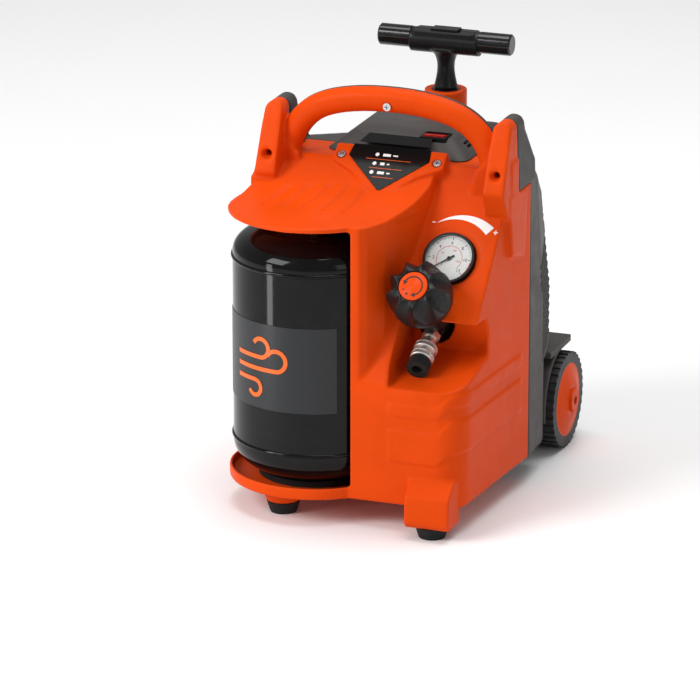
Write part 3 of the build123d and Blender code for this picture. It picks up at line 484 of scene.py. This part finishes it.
# ---------------------------------------------------------------- mouldings
def build_mouldings():
    """The housing's shells and the T handle's core, with rounded edges.

    The plan gives each node, its piece, the voxel, the smoothing passes and the slot."""
    plan = (("front_shell", "housing_front", SHELL_VOXEL, 9, "orange_shell"),
            ("rear_shell", "housing_rear", SHELL_VOXEL, 3, "grey_shell"),
            ("handle_back", "handle_rear_half", TRIM_VOXEL, 5, "grey_shell"),
            ("top_cover", "upper_cover", TRIM_VOXEL, 4, "grey_shell"),
            ("handle_sleeve", "orange_sleeve", TRIM_VOXEL, 3, "orange_shell"))
    for node, name, voxel, passes, slot in plan:
        add_piece(name, softened(node, name, voxel, passes), MATERIALS[slot], "housing", slot, [node])
    core = pocketed(softened("grip_core", "handle_core", TRIM_VOXEL, 4), "latch_button")
    add_piece("handle_core", core, MATERIALS["black_plastic"], "pull_handle", "black_plastic", ["grip_core"])


# ---------------------------------------------------------------- prints
def flat(place):
    """Maps (across, up, out) in millimetres onto a flat face."""
    return lambda across, up, out: place @ Vector((across * MM, up * MM, out * MM))


def wrapped(axis_x, axis_y, radius):
    """Maps (along the arc, height, out) in millimetres onto an upright cylinder, from its front."""
    def onto(along, height, out):
        turn = along / radius
        reach = radius + out
        return Vector((axis_x + reach * sin(turn), axis_y - reach * cos(turn), height)) * MM
    return onto


def stroke(onto, path, width, low=0.04, high=0.16):
    """A printed line: a thin closed ribbon along a path. The width is one number, or one for each point."""
    points, faces = [], []
    last = len(path) - 1
    for i, (x, y) in enumerate(path):
        before, after = path[max(i - 1, 0)], path[min(i + 1, last)]
        dx, dy = after[0] - before[0], after[1] - before[1]
        size = sqrt(dx * dx + dy * dy)
        half = (width[i] if isinstance(width, list) else width) / 2
        nx, ny = -dy / size * half, dx / size * half
        for side, out in ((1, low), (1, high), (-1, high), (-1, low)):
            points.append(onto(x + side * nx, y + side * ny, out))
    for i in range(last):
        a, b = 4 * i, 4 * i + 4
        for k in range(4):
            n = (k + 1) % 4
            faces.append((a + k, b + k, b + n, a + n))
    end = 4 * last
    faces += [(0, 1, 2, 3), (end + 3, end + 2, end + 1, end)]
    return mesh_from("stroke", points, faces)


def polar(radius, turn):
    """A point at a turn in degrees, clockwise from straight up."""
    return radius * sin(radians(turn)), radius * cos(radians(turn))


def arc(radius, start, end, steps=40):
    """Points along an arc between two turns."""
    return [polar(radius, start + (end - start) * i / steps) for i in range(steps + 1)]


def tick(onto, turn, inner, outer, width):
    """A short mark along a dial's radius."""
    return stroke(onto, [polar(inner, turn), polar(outer, turn)], width)


def dot(onto, x, y, radius):
    """A round spot, as a stroke that swells and narrows."""
    half_way = radius * 1.73
    path = [(x + radius * share, y) for share in (-1, -0.5, 0, 0.5, 1)]
    return stroke(onto, path, [0.1, half_way, radius * 2, half_way, 0.1])


def numeral(text, size, place, at):
    """A raised number, as a thin closed mesh."""
    curve = bpy.data.curves.new("numeral", "FONT")
    curve.body = text
    curve.size = size * MM
    curve.extrude = 0.04 * MM
    curve.align_x, curve.align_y = "CENTER", "CENTER"
    letter = bpy.data.objects.new("numeral", curve)
    bpy.context.scene.collection.objects.link(letter)
    mesh = evaluated(letter, "numeral")
    mesh.transform(place @ Matrix.Translation(Vector((*at, 0.1)) * MM))
    return mesh


# ---------------------------------------------------------------- control panel
def panel_frame(node, out):
    """A frame on a round node's axis, out millimetres from its middle along the panel's normal."""
    normal = Vector(joint("regulator_turn")["axis"])
    return oriented(centre_of(node) + normal * out * MM, normal)


def outer_scale(place):
    """The black scale: sixty divisions, with a number at every tenth."""
    onto = flat(place)
    marks = []
    for step in range(61):
        turn = DIAL_END * (step / 30 - 1)
        length = LONG_TICK if step % 10 == 0 else MIDDLE_TICK if step % 5 == 0 else SHORT_TICK
        width = BOLD_LINE if step % 10 == 0 else FINE_LINE
        marks.append(tick(onto, turn, SCALE_R - length, SCALE_R, width))
    for step in range(7):
        spot = polar(NUMBER_R, DIAL_END * (step / 3 - 1))
        marks.append(numeral(str(2 * step), NUMBER_SIZE, place, spot))
    return joined("dial_scale", marks)


def inner_scale(place):
    """The red inner scale, and the red arc at the top of the outer one."""
    onto = flat(place)
    marks = [stroke(onto, arc(INNER_SCALE_R, -DIAL_END, DIAL_END), 0.35),
             stroke(onto, arc(RED_ZONE_R, RED_ZONE_START, DIAL_END), 1.0, low=0.2, high=0.28)]
    for step in range(35):
        inner = INNER_SCALE_R - (1.6 if step % 5 == 0 else 0.8)
        marks.append(tick(onto, DIAL_END * (step / 17 - 1), inner, INNER_SCALE_R, RED_LINE))
    for step in range(4):
        spot = polar(INNER_NUMBER_R, -DIAL_END + INNER_NUMBER_STEP * step)
        marks.append(numeral(str(50 * step), INNER_NUMBER_SIZE, place, spot))
    return joined("dial_inner_scale", marks)


def build_gauge():
    """The gauge's dial plate with its two scales."""
    place = panel_frame("gauge_dial", DIAL_LIFT)
    profile = [(DIAL_HOLE_R, -DIAL_THICK), (DIAL_HOLE_R, 0), (DIAL_R, 0), (DIAL_R, -DIAL_THICK)]
    plate = lathe("dial_plate", profile, place, closed=True)
    add_piece("dial_plate", plate, MATERIALS["dial_face"], "housing", "dial_face", ["gauge_dial"])
    add_piece("dial_scale", outer_scale(place), INK_BLACK, "housing", "needle_black")
    add_piece("dial_inner_scale", inner_scale(place), INK_RED, "housing", "red_rocker")


def knob_radius(height):
    """The knob's outline: a ball that narrows to the front."""
    outline = [(0, 23), (3, 27.5), (8, 30.8), (16, 32), (26, 31.6), (34, 30.4), (40, 28.6), (42.5, 27.2)]
    outline.append((KNOB_LENGTH, 25.5))
    for (h0, r0), (h1, r1) in zip(outline, outline[1:]):
        if height <= h1:
            return r0 + (r1 - r0) * (height - h0) / (h1 - h0)


def scalloped(radius, height, turn):
    """Thumb scoops that run out along the knob, each with a rounded end."""
    off_middle = abs((KNOB_LOBES * turn / pi) % 2 - 1)
    scoop_end = SCOOP_START + SCOOP_RISE * off_middle ** 2.4
    share = min(1.0, max(0.0, (radius - SCOOP_INNER_R) / SCOOP_FADE))
    reach = max(0.0, height - scoop_end) / SCOOP_RUN
    return radius - SCOOP_DEPTH * share * reach ** 0.85


def build_knob():
    """The regulator's knob: bore, back, scalloped ball, and the recess for its cap."""
    heights = [KNOB_LENGTH * i / KNOB_ROWS for i in range(KNOB_ROWS + 1)]
    profile = [(5.1, 0.6), (20.0, 0.6), (22, 0.2)]
    profile += [(knob_radius(height), height) for height in heights]
    profile += [(24.4, 44.5), (22.5, 44.6), (18, 44.2), (15.6, 43.9), (15.0, 43.4), (14.7, 42.2)]
    profile += [(14.7, 41.6), (5.1, 41.6)]
    place = panel_frame("knob_cap", KNOB_REAR)
    mesh = lathe("knob_body", profile, place, KNOB_SEGMENTS, scalloped, closed=True)
    shade_by_angle(mesh, 50)
    add_piece("knob_body", mesh, MATERIALS["black_plastic"], "regulator", "black_plastic", ["regulator_knob"])


def build_cap():
    """The knob's orange cap, with a double arrow, a minus and a plus."""
    place = panel_frame("knob_cap", CAP_LIFT)
    profile = [(0.01, -3), (CAP_R, -3), (CAP_R, -0.7), (CAP_R - 0.6, -0.1), (10, 0.12), (0.01, 0.2)]
    disc = lathe("cap_disc", profile, place)
    add_piece("cap_disc", disc, MATERIALS["orange_shell"], "regulator", "orange_shell", ["knob_cap"])
    onto = flat(place)
    marks = [stroke(onto, arc(ARROW_R, ARROW_START, ARROW_END), 1.3, low=0.1, high=0.3)]
    for end, way in ((ARROW_START, -1), (ARROW_END, 1)):
        head = [polar(ARROW_R, end), polar(ARROW_R, end + 24 * way)]
        marks.append(stroke(onto, head, [4.6, 0.3], low=0.1, high=0.3))
    signs = (((-10.2, -4.4), (-7.8, -4.4)), ((-6.2, -8.6), (-3.6, -8.6)), ((-4.9, -9.9), (-4.9, -7.3)))
    marks += [stroke(onto, sign, 0.8, low=0.05, high=0.3) for sign in signs]
    add_piece("cap_arrows", joined("cap_arrows", marks), INK_BLACK, "regulator", "needle_black")


def build_crescent():
    """The white wedge-shaped scale above the gauge, with a minus and a plus."""
    onto = flat(panel_frame("gauge_dial", CRESCENT_SINK))
    sweep = [i / 30 for i in range(31)]
    middle = [polar(CRESCENT_R + CRESCENT_DRIFT * t, CRESCENT_START + CRESCENT_SWEEP * t) for t in sweep]
    marks = [stroke(onto, middle, [CRESCENT_TIP + CRESCENT_GROWTH * t for t in sweep])]
    marks.append(stroke(onto, [(-25.4, 36.4), (-21.8, 36.4)], 1.1))
    marks.append(stroke(onto, [(38.6, 31.9), (43.0, 31.9)], 1.2))
    marks.append(stroke(onto, [(40.8, 29.7), (40.8, 34.1)], 1.2))
    add_piece("pressure_crescent", joined("pressure_crescent", marks), INK_WHITE, "housing", "dial_face")


# ---------------------------------------------------------------- coupler
def knurled(radius, height, turn):
    """Teeth round the ring's two raised bands."""
    on_band = radius > RING_R - 0.7 and any(low < height < high for low, high in KNURLS)
    ridge = abs((turn * RING_TEETH / (2 * pi)) % 1.0 - 0.5) * 2
    return radius - TOOTH_DEPTH * ridge if on_band else radius


def build_coupler():
    """The quick coupler's sliding ring: two knurled bands with a waist between them."""
    outlet = mount("air_outlet")
    axis = Vector(outlet["axis"])
    place = oriented(Vector(outlet["pos_m"]) - axis * COUPLER_LENGTH * MM, axis)
    top, waist = RING_R + 0.05, RING_WAIST_R
    shoulder, neck = RING_R - 0.5, RING_WAIST_R + 0.2
    profile = [(RING_BORE_R, 20), (shoulder, 20), (RING_R, 20.5), (top, 21)]
    profile += [(top, 25), (RING_R, 25.5), (shoulder, 26), (neck, 26.3), (waist, 27)]
    profile += [(waist, 31), (neck, 31.7), (shoulder, 32), (RING_R, 32.5), (top, 33)]
    profile += [(top, 37), (RING_R, 37.5), (shoulder, 38), (waist, 38.5), (RING_BORE_R, 38.5)]
    mesh = lathe("knurled_sleeve", profile, place, 8 * RING_TEETH, knurled, closed=True)
    ring = MATERIALS["steel_ring"]
    add_piece("knurled_sleeve", mesh, ring, "coupler_ring", "steel_ring", ["coupler_sleeve"])


# ---------------------------------------------------------------- labels
def label_frame():
    """The face of the V label: origin at its tip, X across, Y up along it."""
    low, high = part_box("label_panel")
    rise = atan2(LABEL_RISE, LABEL_RUN)
    tip = Vector((0, low[1], low[2] + LABEL_THICK * MM * cos(rise)))
    return oriented(tip, Vector((0, -sin(rise), cos(rise))))


def build_label():
    """Three rows on the V label, each a dot with a long and a short bar, over an orange line."""
    onto = flat(label_frame())
    white, orange = [], []
    for up, bars in LABEL_ROWS:
        white.append(dot(onto, DOT_X, up, DOT_R))
        start = BAR_START
        for length, width in zip(bars, BAR_WIDTHS):
            white.append(stroke(onto, [(start, up), (start + length, up)], width))
            start += length + BAR_GAP
        half, low = UNDERLINE_SPREAD * up - 1, up - UNDERLINE_DROP
        orange.append(stroke(onto, [(-half, low), (half, low)], UNDERLINE_WIDTH))
    add_piece("label_marks", joined("label_marks", white), INK_WHITE, "housing", "dial_face")
    add_piece("label_lines", joined("label_lines", orange), INK_ORANGE, "housing", "orange_shell")


def build_tank_print():
    """A plain wind sign on the tank's sticker: three lines with curled ends."""
    axis = centre_of("air_tank") / MM
    height = centre_of("tank_label").z / MM
    onto = wrapped(axis.x, axis.y, STICKER_R)
    turns = [radians(CURL_START + CURL_SWEEP * i / 24) for i in range(25)]
    lines = []
    for lift, length, curl, way in SIGN_LINES:
        end, level = SIGN_START + length, height + lift
        path = [(SIGN_START + length * t / 12, level) for t in range(12)]
        path += [(end + curl * cos(t), level + way * curl * (1 + sin(t))) for t in turns]
        lines.append(stroke(onto, path, SIGN_WIDTH, low=0.05, high=0.3))
    add_piece("tank_sign", joined("tank_sign", lines), INK_ORANGE, "housing", "orange_shell")


def build_cover_film():
    """The glossy film that carries the label's black up over the front of the cover."""
    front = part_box("top_cover")[0][1] / MM
    points = []
    for behind, z, half in FILM_EDGES:
        for x, lift in ((-half, FILM_LOW), (-half, FILM_HIGH), (half, FILM_HIGH), (half, FILM_LOW)):
            points.append(Vector((x, front + behind, z + lift)) * MM)
    faces = [(k, 4 + k, 4 + (k + 1) % 4, (k + 1) % 4) for k in range(4)]
    faces += [(0, 1, 2, 3), (7, 6, 5, 4)]
    add_piece("cover_film", mesh_from("cover_film", points, faces), COVER_FILM, "housing", "label_film")


# ---------------------------------------------------------------- stage
def build_floor():
    """A wide pale floor."""
    mesh = bpy.data.meshes.new("floor")
    corners = [(x * FLOOR_HALF, y * FLOOR_HALF, 0) for x, y in ((-1, -1), (1, -1), (1, 1), (-1, 1))]
    mesh.from_pydata(corners, [], [(0, 1, 2, 3)])
    material, tree, shader = new_material("floor")
    paint(tree, shader, mixed(tree, noise(tree, scale=1.5), (0.86, 0.86, 0.86), (0.90, 0.90, 0.90)))
    shader.inputs["Roughness"].default_value = 0.9
    mesh.materials.append(material)
    floor = bpy.data.objects.new("floor", mesh)
    bpy.context.scene.collection.objects.link(floor)


def build_light():
    """An even white surround and the soft boxes, which all face the machine's middle."""
    world = bpy.data.worlds.new("studio")
    world.use_nodes = True
    background = world.node_tree.nodes["Background"]
    background.inputs["Color"].default_value = (1, 1, 1, 1)
    background.inputs["Strength"].default_value = WORLD_STRENGTH
    bpy.context.scene.world = world
    bpy.context.scene.view_settings.view_transform = "Standard"
    middle = Vector((0, 0, AIM_HEIGHT))
    for name, place, width, height, power in SOFT_BOXES:
        data = bpy.data.lights.new(name, "AREA")
        data.shape = "RECTANGLE"
        data.size, data.size_y, data.energy = width, height, power
        lamp = bpy.data.objects.new(name, data)
        lamp.location = place
        lamp.rotation_euler = (middle - Vector(place)).to_track_quat("-Z", "Y").to_euler()
        bpy.context.scene.collection.objects.link(lamp)


def build_camera():
    """A distant camera with a long lens, aimed a little left of and below the machine's middle."""
    azimuth, elevation = radians(VIEW_AZIMUTH), radians(VIEW_ELEVATION)
    back = Vector((sin(azimuth) * cos(elevation), -cos(azimuth) * cos(elevation), sin(elevation)))
    right = Vector((cos(azimuth), sin(azimuth), 0))
    up = back.cross(right)
    aim = Vector((0, 0, AIM_HEIGHT)) - right * AIM_LEFT - up * AIM_DOWN
    data = bpy.data.cameras.new("camera")
    data.lens, data.sensor_width = LENS_MM, SENSOR_MM
    camera = bpy.data.objects.new("camera", data)
    camera.location = aim + back * VIEW_DISTANCE
    camera.rotation_euler = (-back).to_track_quat("-Z", "Y").to_euler()
    bpy.context.scene.collection.objects.link(camera)
    bpy.context.scene.camera = camera


build_camera()
build_floor()
build_light()
dress_cad_nodes()
build_mouldings()
build_gauge()
build_knob()
build_cap()
build_crescent()
build_coupler()
build_label()
build_tank_print()
build_cover_film()
